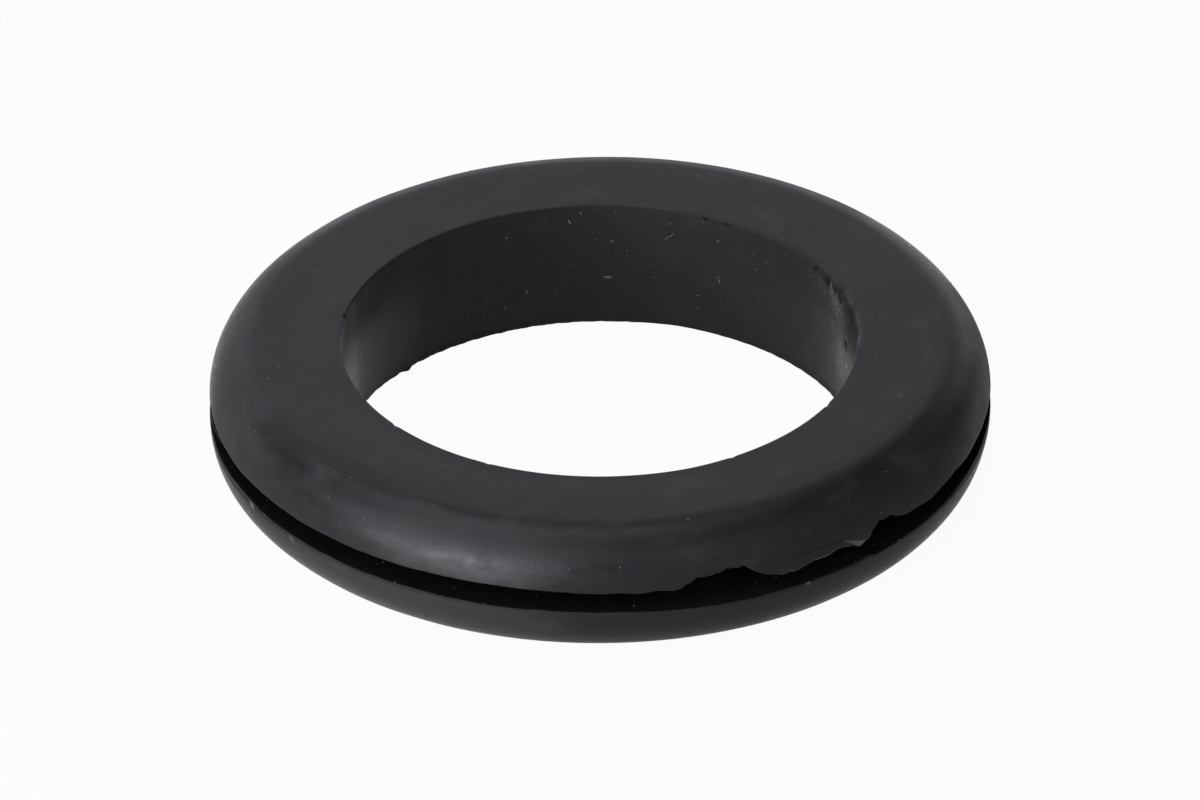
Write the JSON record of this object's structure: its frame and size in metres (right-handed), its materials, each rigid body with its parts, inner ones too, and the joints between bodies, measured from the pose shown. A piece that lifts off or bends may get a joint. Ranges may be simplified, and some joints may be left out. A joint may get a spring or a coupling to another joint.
{
  "type": "rubber grommet",
  "caption": "Black moulded rubber ring with a round bore, rounded shoulders and a square panel groove round its outside.",
  "frame": {"origin": "centre of the bottom face, on the bore's axis", "axes": "+Z along the bore, up out of the top face; +X towards the right of the torn stretch of lip"},
  "size_m": [0.0572, 0.0572, 0.01],
  "materials": {
    "rubber": "satin"
  },
  "bodies": {
    "root": {"grommet": "rubber"}
  },
  "joints": []
}
